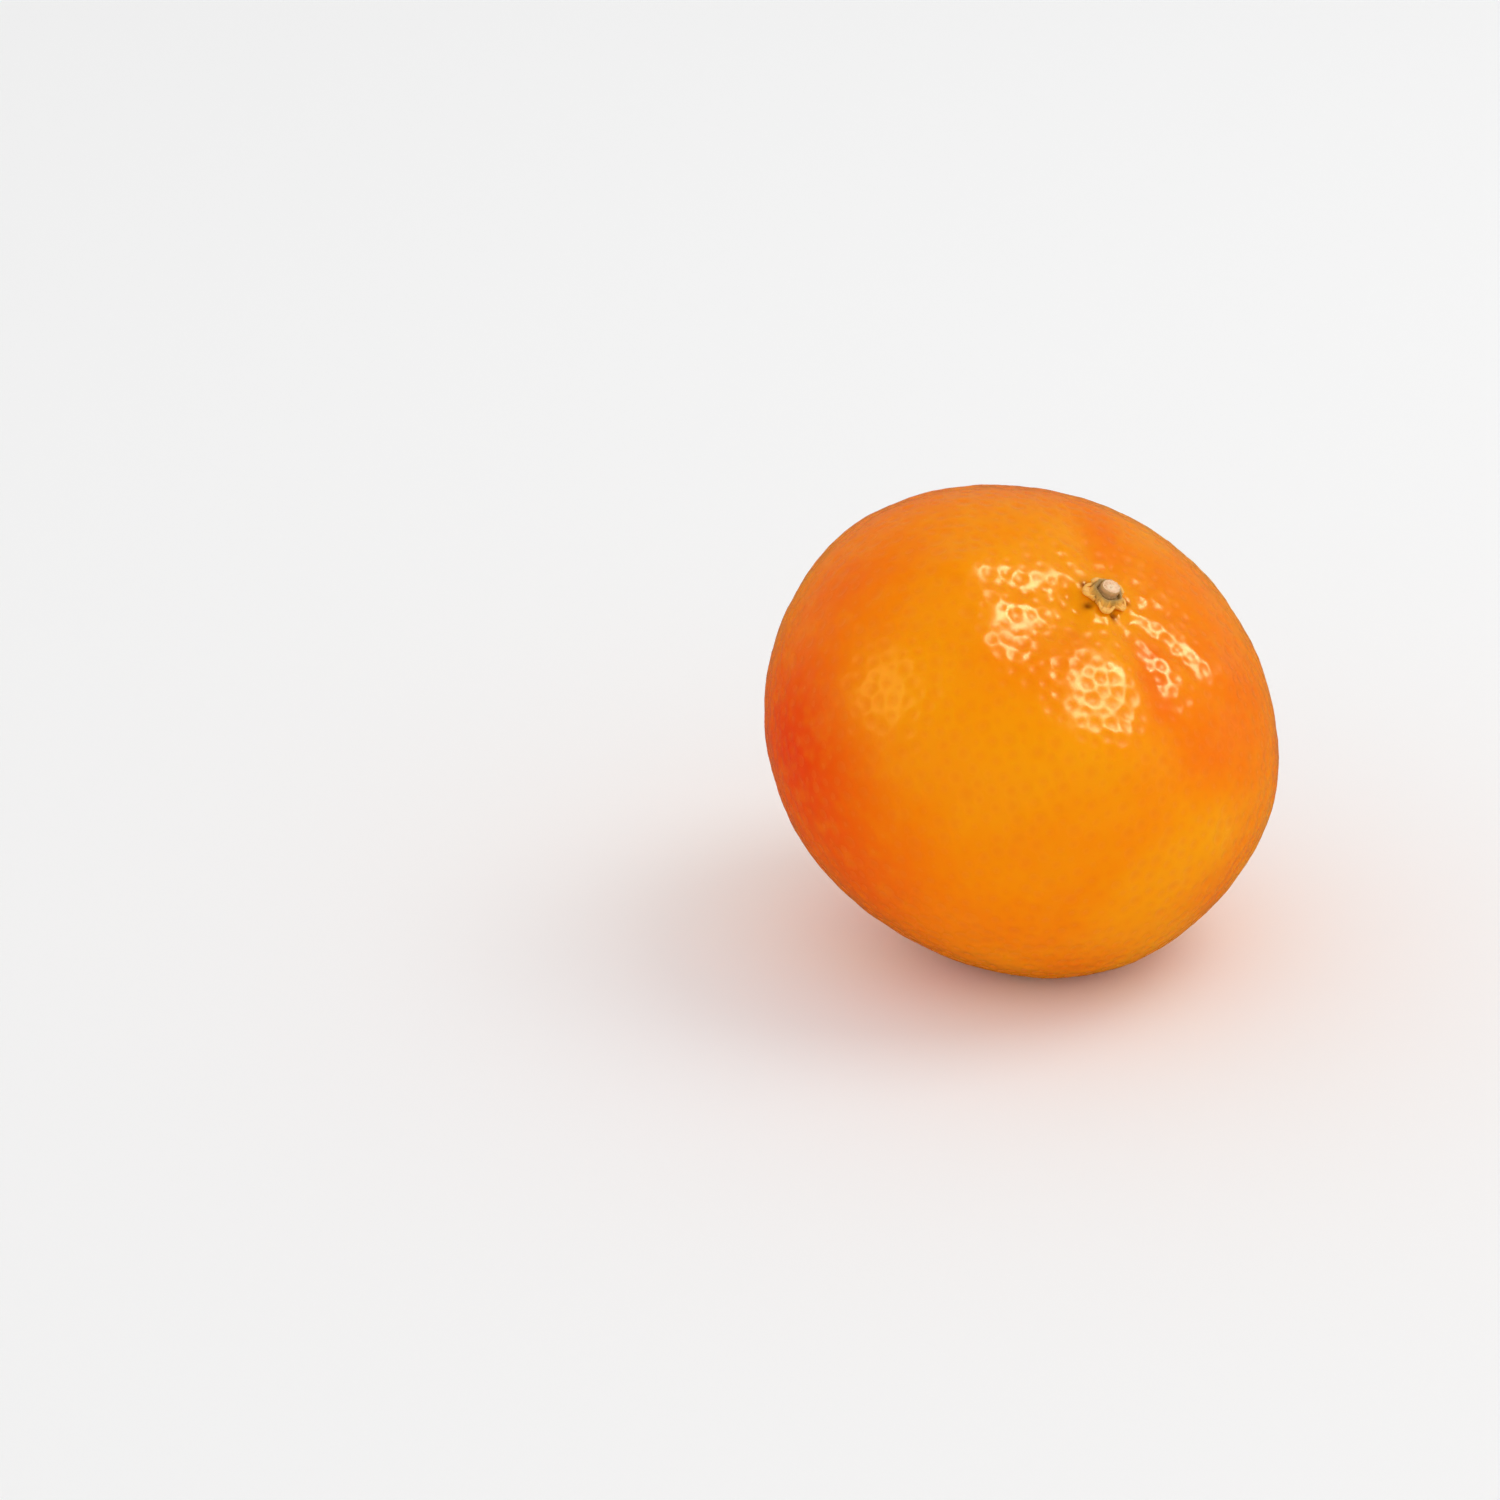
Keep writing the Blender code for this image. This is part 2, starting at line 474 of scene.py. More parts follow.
@dataclass(frozen=True)
class FruitForm:
    """The fruit's main shape, which the solid and the fine peel share."""

    equator_radius: float = 32.0 * MM
    pole_share: float = 0.86
    lean: float = math.radians(30.5)
    flat_depth: float = 1.4 * MM
    basin_depth: float = 3.58 * MM
    basin_radius: float = 18.1 * MM
    blossom_depth: float = 0.7 * MM
    blossom_radius: float = 5.5 * MM
    furrow_start: float = 2.2 * MM
    furrow_full: float = 5.2 * MM
    furrow_open: float = 8.0 * MM
    furrow_pinch: float = 0.4
    furrow_fade: float = 0.35
    spot_softness: float = 0.35 * MM
    spot_press: float = 0.25 * MM
    spot_reach: float = 12.0 * MM
    furrows: tuple[Furrow, ...] = (
        Furrow(178, 1.10 * MM, 4.5 * MM, 27 * MM),
        Furrow(-155, -0.12 * MM, 0.8 * MM, 15 * MM),
        Furrow(-100, 0.67 * MM, 2.5 * MM, 27 * MM),
        Furrow(-71, 0.55 * MM, 1.7 * MM, 26 * MM),
        Furrow(-38, 0.36 * MM, 1.8 * MM, 16 * MM),
        Furrow(-4, 0.25 * MM, 1.4 * MM, 13 * MM),
        Furrow(31, 0.33 * MM, 1.7 * MM, 15 * MM),
        Furrow(61, 0.44 * MM, 1.9 * MM, 19 * MM),
        Furrow(99, 0.25 * MM, 1.5 * MM, 14 * MM),
        Furrow(143.5, 0.54 * MM, 2.2 * MM, 30 * MM),
    )
    swellings: tuple[Swelling, ...] = (
        Swelling(130, -150, -0.45 * MM, 20),
        Swelling(112, -101, 0.35 * MM, 17),
        Swelling(76, -57, 0.43 * MM, 15),
        Swelling(45, 15, 0.21 * MM, 20),
        Swelling(51, 63, -0.24 * MM, 18),
        Swelling(75, 102, 0.43 * MM, 18),
        Swelling(88, 20, -0.26 * MM, 22),
        Swelling(125, 60, 0.30 * MM, 24),
        Swelling(96, 158, 0.14 * MM, 20),
        Swelling(42, -124, 0.88 * MM, 7.6),
        Swelling(44, -144, 0.88 * MM, 8.4),
        Swelling(36, 172.5, 0.90 * MM, 6.2),
        Swelling(34, 138, 0.90 * MM, 8.3),
        Swelling(33, -63, 0.80 * MM, 6.9),
    )

    @property
    def pole_radius(self) -> float:
        """Half the fruit's height along its own axis."""
        return self.equator_radius * self.pole_share

    @property
    def centre_height(self) -> float:
        """How high the fruit's centre is above what it lies on."""
        across = self.equator_radius * math.sin(self.lean)
        along = self.pole_radius * math.cos(self.lean)
        return math.hypot(across, along) - self.flat_depth

    @property
    def to_world(self) -> Matrix:
        """The turn and shift from the fruit's own frame to the world's."""
        shift = Matrix.Translation((0, 0, self.centre_height))
        return shift @ Matrix.Rotation(self.lean, 4, "X")

    def set_down(self, tree: GeometryGroup, geometry: Term, height: float = 0.0) -> Term:
        """Move a geometry from the fruit's own frame to the world's.

        Args:
            tree: The tree that does it.
            geometry: What is moved.
            height: How far it is raised along the fruit's axis first.

        Returns:
            The moved geometry.
        """
        where = tuple(self.to_world @ Vector((0, 0, height)))
        inputs = {0: geometry, "Translation": where, "Rotation": (self.lean, 0.0, 0.0)}
        return tree.term("GeometryNodeTransform", inputs)

    def direction(self, polar: float, azimuth: float) -> Vector:
        """The unit vector at two angles of the fruit's own frame.

        Args:
            polar: Degrees from the stem end.
            azimuth: Degrees round the axis, from +X.

        Returns:
            The direction from the fruit's centre.
        """
        tilt, turn = math.radians(polar), math.radians(azimuth)
        ring = math.sin(tilt)
        return Vector((ring * math.cos(turn), ring * math.sin(turn), math.cos(tilt)))

    @property
    def basin_rest(self) -> float:
        """What the basin's bell still has at the equator."""
        return math.exp(-((self.equator_radius / self.basin_radius) ** 2))

    def seat_height(self, from_axis: float) -> float:
        """How high the basin's surface stands along the fruit's axis.

        Args:
            from_axis: Distance from the fruit's axis, inside the furrows' start.

        Returns:
            The height above the fruit's centre.
        """
        dome = math.sqrt(1 - (from_axis / self.equator_radius) ** 2)
        basin = math.exp(-((from_axis / self.basin_radius) ** 2)) - self.basin_rest
        return self.pole_radius * dome - self.basin_depth * basin


@dataclass(frozen=True)
class Change:
    """A change of colour that follows some value from a start to an end."""

    start: float
    end: float
    strength: float
    colour: Colour


@dataclass(frozen=True)
class Streaks:
    """Fine streaks that run out from the fruit's axis."""

    turn_length: float
    stretch: float
    size: float
    start: float
    end: float


class Brush(Weaver):
    """Makes one material."""

    def __init__(self, name: str) -> None:
        """Start a material with its shader.

        Args:
            name: The material's name.
        """
        self.material = bpy.data.materials.new(name)
        self.material.use_nodes = True
        super().__init__(self.material.node_tree)
        self.shader = self.tree.nodes["Principled BSDF"]

    def mix(self, share: Number, first: object, second: object) -> Term:
        """Blend two colours.

        Args:
            share: How much of the second colour there is.
            first: A colour or a term.
            second: A colour or a term.

        Returns:
            The blended colour.
        """
        inputs = {0: share, 6: self.opaque(first), 7: self.opaque(second)}
        return self.term("ShaderNodeMix", inputs, 2, data_type="RGBA")

    @staticmethod
    def opaque(colour: object) -> object:
        """A plain colour with its alpha, or a term as it is."""
        return colour if isinstance(colour, Term) else (*colour, 1.0)

    def change(
        self, colour: object, value: Term, change: Change, where: Number = 1.0
    ) -> Term:
        """Let a colour change with a value.

        Args:
            colour: The colour so far.
            value: What the change follows.
            change: The change.
            where: A share that keeps the change to a place.

        Returns:
            The changed colour.
        """
        share = self.rise(value, change.start, change.end) * change.strength
        return self.mix(share * where, colour, change.colour)

    def finish(
        self, colour: Term, roughness: Term, height: Term, bump: tuple[float, float]
    ) -> bpy.types.Material:
        """Give the shader its colour, its gloss and its finest bumps.

        Args:
            colour: The surface's colour.
            roughness: Its roughness.
            height: Its bumps' height, between 0 and 1.
            bump: How far apart heights 0 and 1 are, and how much of that shows.

        Returns:
            The finished material.
        """
        inputs = {"Height": height, "Distance": bump[0], "Strength": bump[1]}
        normal = self.term("ShaderNodeBump", inputs)
        wanted = {"Base Color": colour, "Roughness": roughness, "Normal": normal}
        self.feed(self.shader, wanted)
        return self.material


class FruitBrush(Brush):
    """Makes a material whose pattern follows the fruit's own frame."""

    def __init__(self, name: str, form: FruitForm) -> None:
        """Start a material and find the place on the piece.

        Args:
            name: The material's name.
            form: The fruit's main shape.
        """
        super().__init__(name)
        self.form = form
        inputs = {
            "Vector": self.term("ShaderNodeTexCoord", {}, "Object"),
            "Location": (0.0, 0.0, form.centre_height),
            "Rotation": (form.lean, 0.0, 0.0),
        }
        self.place = self.term("ShaderNodeMapping", inputs, vector_type="TEXTURE")
        x, y, self.along_axis = self.parts(self.place)
        self.from_axis, self.azimuth = self.polar(x, y)

    def streaks(self, streaks: Streaks) -> Term:
        """Draw streaks that run out from the axis.

        Args:
            streaks: Their sizes.

        Returns:
            How much of a streak there is, from 0 to 1.
        """
        turned = self.azimuth * streaks.turn_length
        fan = self.vector(turned, self.from_axis * streaks.stretch, 0.0)
        return self.rise(self.grain(fan, streaks.size), streaks.start, streaks.end)


@dataclass(frozen=True)
class Patch:
    """A place of the peel where its colour changes; some patches are the peel's own tone, the
    others painted shade and painted highlight.
    """

    polar: float
    azimuth: float
    spread: float
    strength: float
    colour: Colour


@dataclass(frozen=True)
class PeelFinish:
    """Waxy orange rind, with its glands, its redder and yellower places and its end scar; some
    places carry painted shade and a painted highlight, and the gaps between the sepals carry
    painted shade.
    """

    name: str = "mandarin_peel"
    roughness: float = 0.22
    ripe: Colour = (0.95, 0.32, 0.0005)
    cloud_size: float = 17 * MM
    clouds: Change = Change(0.3, 0.7, 1.0, (0.93, 0.22, 0.0003))
    mottle_size: float = 2.4 * MM
    mottle: Change = Change(0.45, 0.75, 0.14, (0.95, 0.38, 0.004))
    gland: Colour = (0.86, 0.17, 0.0003)
    gland_share: float = 0.25
    # Painted shade: dark colour in the peel's pinched gaps between the sepals.
    gap_shade: Colour = (0.30, 0.065, 0.002)
    gap_shade_share: float = 0.95
    calyx_halo: Change = Change(5.5 * MM, 2.6 * MM, 0.35, (0.95, 0.38, 0.004))
    end_ring: Change = Change(2.2 * MM, 0.9 * MM, 0.85, (0.42, 0.12, 0.01))
    end_scar: Change = Change(0.95 * MM, 0.5 * MM, 1.0, (0.10, 0.045, 0.015))
    side_edge: float = 1 * MM
    shine_size: float = 6 * MM
    shine_change: tuple[float, ...] = (0.3, 0.7, -0.04, 0.05)
    gland_dullness: float = 0.12
    ring_dullness: float = 0.3
    skin_size: float = 0.32 * MM
    skin_bump: tuple[float, float] = (0.006 * MM, 0.5)
    bending: float = 1.27
    wax_tint: Colour = (1.0, 0.85, 0.36)
    glow_share: float = 0.35
    glow_reach: Colour = (1.0, 0.32, 0.05)
    depth_of_light: float = 1.6 * MM
    pore_attribute: str = "pore"
    patches: tuple[Patch, ...] = (
        # These two: painted shade, deeper red down the left side and its lower part, kept as a
        # ruddier cheek.
        Patch(95, 161, 33, 0.94, (0.79, 0.033, 0.0001)),
        Patch(106, -172, 22, 0.68, (0.82, 0.052, 0.0002)),
        Patch(63, 132, 17, 0.55, (0.88, 0.10, 0.0003)),
        # Painted highlight: a faint yellower glow where the side lamp's dim reflection falls.
        Patch(60, 167, 13, 0.45, (0.95, 0.36, 0.0005)),
        # These three: painted shade along the shallow groove behind the calyx.
        Patch(16, 42, 5.5, 0.50, (0.93, 0.13, 0.0005)),
        Patch(24, 44, 6, 0.60, (0.93, 0.13, 0.0005)),
        Patch(33, 46, 7, 0.50, (0.93, 0.14, 0.0005)),
        # These five: painted shade along the deep furrow to the right of the calyx.
        Patch(51, -86, 9, 0.50, (0.93, 0.14, 0.0005)),
        Patch(44, -94, 10, 0.70, (0.93, 0.14, 0.0005)),
        Patch(18, -92, 4.5, 0.65, (0.93, 0.10, 0.0003)),
        Patch(25, -102, 5, 0.75, (0.93, 0.10, 0.0003)),
        Patch(32, -103, 5.5, 0.65, (0.93, 0.11, 0.0003)),
        Patch(33, -50, 22, 0.60, (0.93, 0.13, 0.0005)),
        Patch(57, -168, 20, 0.50, (0.95, 0.37, 0.0005)),
        Patch(52, -142, 22, 0.45, (0.95, 0.35, 0.0005)),
        Patch(62, -92, 11, 0.50, (0.95, 0.40, 0.0010)),
        # Painted shade: the front darker towards the bottom, as the light falls from above.
        Patch(97, -142, 28, 0.50, (0.93, 0.20, 0.0005)),
        Patch(70, 60, 40, 0.50, (0.92, 0.17, 0.0005)),
    )

    def paint(self, form: FruitForm, calyx: "CalyxForm") -> bpy.types.Material:
        """Make the material.

        Args:
            form: The fruit's main shape.
            calyx: The calyx, whose gaps between sepals get painted shade on the peel.

        Returns:
            The finished material.
        """
        brush = FruitBrush(self.name, form)
        place, from_axis = brush.place, brush.from_axis
        stem_side = brush.rise(brush.along_axis, 0.0, self.side_edge)
        blossom_side = brush.rise(brush.along_axis, 0.0, -self.side_edge)
        pore = brush.term(
            "ShaderNodeAttribute", {}, "Fac", attribute_name=self.pore_attribute
        )

        clouds = brush.grain(place, self.cloud_size, 3.0)
        colour = self.patched(brush, brush.change(self.ripe, clouds, self.clouds))
        mottle = brush.grain(place, self.mottle_size, 3.0)
        colour = brush.change(colour, mottle, self.mottle)
        colour = brush.mix(pore * self.gland_share, colour, self.gland)
        colour = brush.change(colour, from_axis, self.calyx_halo, stem_side)
        # Painted shade darkens the peel in the gaps between the sepals.
        gap_shade_mask = calyx.gap_share(brush, from_axis, brush.azimuth) * stem_side
        colour = brush.mix(gap_shade_mask * self.gap_shade_share, colour, self.gap_shade)
        colour = brush.change(colour, from_axis, self.end_ring, blossom_side)
        colour = brush.change(colour, from_axis, self.end_scar, blossom_side)

        shine = brush.rise(brush.grain(place, self.shine_size), *self.shine_change)
        ring = brush.rise(from_axis, self.end_ring.start, self.end_ring.end) * blossom_side
        dull = shine + pore * self.gland_dullness + ring * self.ring_dullness
        own = {
            "IOR": self.bending,
            "Specular Tint": (*self.wax_tint, 1.0),
            "Subsurface Weight": self.glow_share,
            "Subsurface Radius": self.glow_reach,
            "Subsurface Scale": self.depth_of_light,
        }
        brush.feed(brush.shader, own)
        skin = brush.grain(place, self.skin_size)
        return brush.finish(colour, dull + self.roughness, skin, self.skin_bump)

    def patched(self, brush: FruitBrush, colour: Term) -> Term:
        """Let the colour change in each patch: the peel's own tone, painted shade and a painted
        highlight.

        Args:
            brush: The peel's brush.
            colour: The colour so far.

        Returns:
            The colour with its patches.
        """
        form = brush.form
        stretch = (form.equator_radius, form.equator_radius, form.pole_radius)
        outwards = brush.vector_math(
            VectorStep.UNIT, brush.vector_math(VectorStep.DIVIDE, brush.place, stretch)
        )
        for patch in self.patches:
            middle = tuple(form.direction(patch.polar, patch.azimuth))
            facing = brush.vector_math(VectorStep.DOT, outwards, middle)
            angle = brush.math(Step.ARC_COSINE, facing)
            share = brush.bell(angle, math.radians(patch.spread)) * patch.strength
            colour = brush.mix(share, colour, patch.colour)
        return colour


@dataclass(frozen=True)
class SepalFinish:
    """Drying sepals: tan at their tips, olive and brown towards the stem."""

    name: str = "dry_sepal"
    roughness: float = 0.62
    heart: Colour = (0.38, 0.21, 0.03)
    tips: Change = Change(1.55 * MM, 2.35 * MM, 1.0, (0.90, 0.45, 0.06))
    ragged_by: float = 0.9 * MM
    vein: Colour = (0.42, 0.17, 0.02)
    vein_share: float = 0.4
    veins: Streaks = Streaks(0.9 * MM, 0.15, 0.09 * MM, 0.5, 0.75)
    blotch_size: float = 0.7 * MM
    blotch_dullness: float = 0.2
    vein_sinking: float = 0.6
    bump: tuple[float, float] = (0.05 * MM, 0.8)

    def paint(self, form: FruitForm) -> bpy.types.Material:
        """Make the material.

        Args:
            form: The fruit's main shape.

        Returns:
            The finished material.
        """
        brush = FruitBrush(self.name, form)
        blotch = brush.grain(brush.place, self.blotch_size, 4.0)
        ragged = brush.from_axis + (blotch - 0.5) * self.ragged_by
        colour = brush.change(self.heart, ragged, self.tips)
        veins = brush.streaks(self.veins)
        colour = brush.mix(veins * self.vein_share, colour, self.vein)
        dull = blotch * self.blotch_dullness + self.roughness
        return brush.finish(colour, dull, veins * -self.vein_sinking + blotch, self.bump)


@dataclass(frozen=True)
class WoodFinish:
    """The stalk's clipped end: pale wood with fine rays inside a thin brown-green rind."""

    name: str = "clipped_wood"
    roughness: float = 0.75
    wood: Colour = (0.93, 0.62, 0.38)
    pith: Change = Change(0.65 * MM, 0.2 * MM, 0.8, (1.00, 0.76, 0.50))
    ray: Colour = (0.62, 0.34, 0.16)
    ray_share: float = 0.5
    rays: Streaks = Streaks(1 * MM, 0.2, 0.14 * MM, 0.5, 0.72)
    ray_standing: float = 0.5
    rind: Colour = (0.52, 0.30, 0.10)
    rind_edge: tuple[float, float] = (0.98 * MM, 1.10 * MM)
    rind_below: tuple[float, float] = (0.12 * MM, 0.35 * MM)
    ragged_by: float = 0.3 * MM
    blotch_size: float = 0.5 * MM
    blotches: Change = Change(0.4, 0.7, 0.5, (0.62, 0.34, 0.16))
    blotch_dullness: float = 0.15
    bump: tuple[float, float] = (0.04 * MM, 0.8)

    def paint(self, form: FruitForm, top: float) -> bpy.types.Material:
        """Make the material.

        Args:
            form: The fruit's main shape.
            top: How high the clipped face stands in the fruit's own frame.

        Returns:
            The finished material.
        """
        brush = FruitBrush(self.name, form)
        rays = brush.streaks(self.rays)
        colour = brush.mix(rays * self.ray_share, self.wood, self.ray)
        colour = brush.change(colour, brush.from_axis, self.pith)
        blotch = brush.grain(brush.place, self.blotch_size, 4.0)
        edge = brush.from_axis + (blotch - 0.5) * self.ragged_by
        outside = brush.rise(edge, *self.rind_edge)
        lower = brush.rise(brush.along_axis, *(top - depth for depth in self.rind_below))
        barked = brush.math(Step.LARGER, outside, lower)
        bark = brush.change(self.rind, blotch, self.blotches)
        colour = brush.mix(barked, colour, bark)
        dull = blotch * self.blotch_dullness + self.roughness
        return brush.finish(colour, dull, blotch + rays * self.ray_standing, self.bump)


def add_piece(
    obj: bpy.types.Object, stands_for: CadNode
) -> bpy.types.Object:
    """Make a finished object a piece of the part.

    Args:
        obj: The finished object, at the origin.
        stands_for: The solid that it replaces.

    Returns:
        The same object.
    """
    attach(obj, Body.ROOT.value)
    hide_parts(stands_for.value)
    log.info("%s: %d faces", obj.name, len(obj.data.polygons))
    return obj


def link_mesh(name: str, mesh: bpy.types.Mesh) -> bpy.types.Object:
    """Put a mesh into the scene as an object at the origin.

    Args:
        name: The object's name.
        mesh: Its mesh.

    Returns:
        The new object.
    """
    obj = bpy.data.objects.new(name, mesh)
    bpy.context.scene.collection.objects.link(obj)
    return obj


def kept_mesh(name: str, draft: bmesh.types.BMesh) -> bpy.types.Mesh:
    """Turn a draft into a mesh that stays.

    Args:
        name: The mesh's name.
        draft: The draft, which is freed.

    Returns:
        The mesh.
    """
    mesh = bpy.data.meshes.new(name)
    draft.to_mesh(mesh)
    draft.free()
    return mesh


@dataclass
class CalyxForm:
    """The calyx's sizes in the fruit's own frame."""

    sepal_count: int = 5
    first_sepal: float = math.radians(143)
    sepal_root: float = 1.25 * MM
    sepal_tip: float = 3.0 * MM
    sepal_half_width: float = 1.12 * MM
    sepal_thickness: float = 0.42 * MM
    collar_radius: float = 1.72 * MM
    collar_thickness: float = 0.95 * MM
    cup_thickness: float = 0.45 * MM
    seat_gap: float = 0.3 * MM
    gap_radius: float = 2.75 * MM
    gap_width: float = 0.65 * MM
    gap_depth: float = 0.5 * MM
    gap_sharpness: float = 4.0

    def gap_share(self, weaver: Weaver, from_axis: Term, azimuth: Term) -> Term:
        """Where the peel is pinched between two sepals.

        Args:
            weaver: The weaver of the tree that asks.
            from_axis: Distance from the fruit's axis.
            azimuth: Angle round it.

        Returns:
            1 in the middle of a gap and 0 away from it.
        """
        turn = (azimuth - self.first_sepal) * float(self.sepal_count)
        between = weaver.math(Step.COSINE, turn) * -0.5 + 0.5
        narrow = weaver.math(Step.POWER, between, self.gap_sharpness)
        return narrow * weaver.bell(from_axis - self.gap_radius, self.gap_width)


@dataclass
class Peel:
    """The whole fruit in its peel, with its glands and gentle waves."""

    form: FruitForm
    calyx: CalyxForm
    finish: PeelFinish = field(default_factory=PeelFinish)
    name: str = "mandarin_peel"
    cube_points: int = 129
    stem_crowding: float = 0.15
    pore_pitch: float = 1.65 * MM
    pore_radius: float = 0.58 * MM
    pore_depth: float = 0.12 * MM
    pore_sizes: tuple[float, float] = (0.5, 1.4)
    pore_seed: int = 11
    pores_per_square_metre: float = 3.0e6
    wander_length: float = 6.0 * MM
    furrow_wander: float = 0.18
    wave_length: float = 5.0 * MM
    wave_height: float = 0.26 * MM
    ripple_length: float = 2.1 * MM
    ripple_height: float = 0.17 * MM
    scar_radius: float = 0.7 * MM
    scar_depth: float = 0.3 * MM
    scar_ring_radius: float = 1.25 * MM
    scar_ring_width: float = 0.4 * MM
    scar_ring_height: float = 0.14 * MM

    def furrow_group(self) -> GeometryGroup:
        """One furrow's share of the relief, as a group of its own."""
        group = GeometryGroup("furrow")
        from_axis, azimuth, line, depth, half_width, reach = group.blanks(
            "from_axis", "azimuth", "line", "depth", "half_width", "reach"
        )
        form = self.form
        turn = group.math(Step.WRAP, azimuth - line, math.pi, -math.pi)
        wide = group.rise(from_axis, 0.0, form.furrow_open, form.furrow_pinch, 1.0)
        rise = group.rise(from_axis, form.furrow_start, form.furrow_full)
        fade = group.rise(from_axis, reach * form.furrow_fade, reach, 1.0, 0.0)
        shape = group.bell(from_axis * turn, half_width * wide)
        group.close(depth * shape * rise * fade * -1.0, SocketKind.NUMBER)
        return group

    def swelling_group(self) -> GeometryGroup:
        """One swelling's share of the relief, as a group of its own."""
        group = GeometryGroup("swelling")
        direction = group.input("direction", None, SocketKind.VECTOR)
        middle = group.input("middle", None, SocketKind.VECTOR)
        height, spread = group.blanks("height", "spread")
        facing = group.vector_math(VectorStep.DOT, direction, middle)
        angle = group.math(Step.ARC_COSINE, facing)
        group.close(group.bell(angle, spread) * height, SocketKind.NUMBER)
        return group

    def build(self) -> bpy.types.Object:
        """Build the peel, dress it and hand it over.

        Returns:
            The finished piece.
        """
        tree = GeometryGroup("peel_surface")
        material = self.finish.paint(self.form, self.calyx)
        smooth = self.smooth_form(tree)
        dimpled = self.with_pores(tree, smooth)
        tree.close_surface(self.on_flat_spot(tree, dimpled), material)
        obj = tree.bake(link_mesh(self.name, bpy.data.meshes.new(self.name)))
        return add_piece(obj, CadNode.FRUIT)

    def smooth_form(self, tree: GeometryGroup) -> Term:
        """The peel without its glands, set in the world's frame.

        Args:
            tree: The tree that makes it.

        Returns:
            The geometry.
        """
        form = self.form
        equator, pole = tree.sizes(form, "equator_radius", "pole_radius")
        (points,) = tree.sizes(self, "cube_points")
        sides = {"Vertices X": points, "Vertices Y": points, "Vertices Z": points}
        cube = tree.term("GeometryNodeMeshCube", {"Size": (2.0, 2.0, 2.0), **sides})

        corner = tree.term("GeometryNodeInputPosition", {})
        eighth = (math.pi / 4,) * 3
        even = tree.vector_math(
            VectorStep.TANGENT, tree.vector_math(VectorStep.MULTIPLY, corner, eighth)
        )
        x, y, z = tree.parts(tree.vector_math(VectorStep.UNIT, even))
        azimuth = tree.math(Step.ARC_TANGENT, y, x)
        even_polar = tree.math(Step.ARC_COSINE, z)
        crowd = tree.math(Step.SINE, even_polar) * (z + 1.0) * self.stem_crowding
        polar = even_polar - crowd
        ring = tree.math(Step.SINE, polar)
        direction = tree.vector(
            ring * tree.math(Step.COSINE, azimuth),
            ring * tree.math(Step.SINE, azimuth),
            tree.math(Step.COSINE, polar),
        )
        stretch = tree.vector(equator, equator, pole)
        spheroid = tree.vector_math(VectorStep.MULTIPLY, direction, stretch)
        outwards = tree.vector_math(
            VectorStep.UNIT, tree.vector_math(VectorStep.DIVIDE, direction, stretch)
        )
        from_axis = equator * ring
        stem_side = tree.math(Step.BELOW, polar, math.pi / 2)
        relief = self.swelling_relief(tree, direction)
        wander = tree.sway(spheroid, self.wander_length, self.furrow_wander)
        relief = relief + stem_side * self.stem_relief(tree, from_axis, azimuth, wander)
        relief = relief + (1.0 - stem_side) * self.blossom_relief(tree, from_axis)
        raised = tree.vector_math(VectorStep.SCALE, outwards, relief)
        point = tree.vector_math(VectorStep.ADD, spheroid, raised)
        shaped = tree.term("GeometryNodeSetPosition", {0: cube, "Position": point})
        return form.set_down(tree, shaped)

    def swelling_relief(self, tree: GeometryGroup, direction: Term) -> Term:
        """All the broad swellings and flatter places.

        Args:
            tree: The tree that makes them.
            direction: The direction from the fruit's centre.

        Returns:
            How far they raise the peel.
        """
        group = self.swelling_group()
        relief = None
        for swelling in self.form.swellings:
            inputs = {
                "direction": direction,
                "middle": tuple(self.form.direction(swelling.polar, swelling.azimuth)),
                "height": swelling.height,
                "spread": math.radians(swelling.spread),
            }
            one = tree.use(group, inputs)
            relief = one if relief is None else relief + one
        return relief

    def stem_relief(
        self, tree: GeometryGroup, from_axis: Term, azimuth: Term, wander: Term
    ) -> Term:
        """The stem end: its basin, its furrows and the pinches between the sepals.

        Args:
            tree: The tree that makes it.
            from_axis: Distance from the fruit's axis.
            azimuth: Angle round it.
            wander: How far the furrows stray to one side here, as an angle.

        Returns:
            How far it raises the peel.
        """
        depth, radius = tree.sizes(self.form, "basin_depth", "basin_radius")
        relief = depth * (self.form.basin_rest - tree.bell(from_axis, radius))
        group = self.furrow_group()
        for furrow in self.form.furrows:
            inputs = {
                "from_axis": from_axis,
                "azimuth": azimuth + wander,
                "line": math.radians(furrow.azimuth),
                "depth": furrow.depth,
                "half_width": furrow.half_width,
                "reach": furrow.reach,
            }
            relief = relief + tree.use(group, inputs)
        pinches = self.calyx.gap_share(tree, from_axis, azimuth)
        return relief - pinches * self.calyx.gap_depth

    def blossom_relief(self, tree: GeometryGroup, from_axis: Term) -> Term:
        """The blossom end: a shallow hollow with a small ringed scar.

        Args:
            tree: The tree that makes it.
            from_axis: Distance from the fruit's axis.

        Returns:
            How far it raises the peel.
        """
        depth, radius = tree.sizes(self.form, "blossom_depth", "blossom_radius")
        hollow = tree.bell(from_axis, radius) * depth
        scar = tree.bell(from_axis, self.scar_radius) * self.scar_depth
        ring = tree.bell(from_axis - self.scar_ring_radius, self.scar_ring_width)
        return ring * self.scar_ring_height - scar - hollow

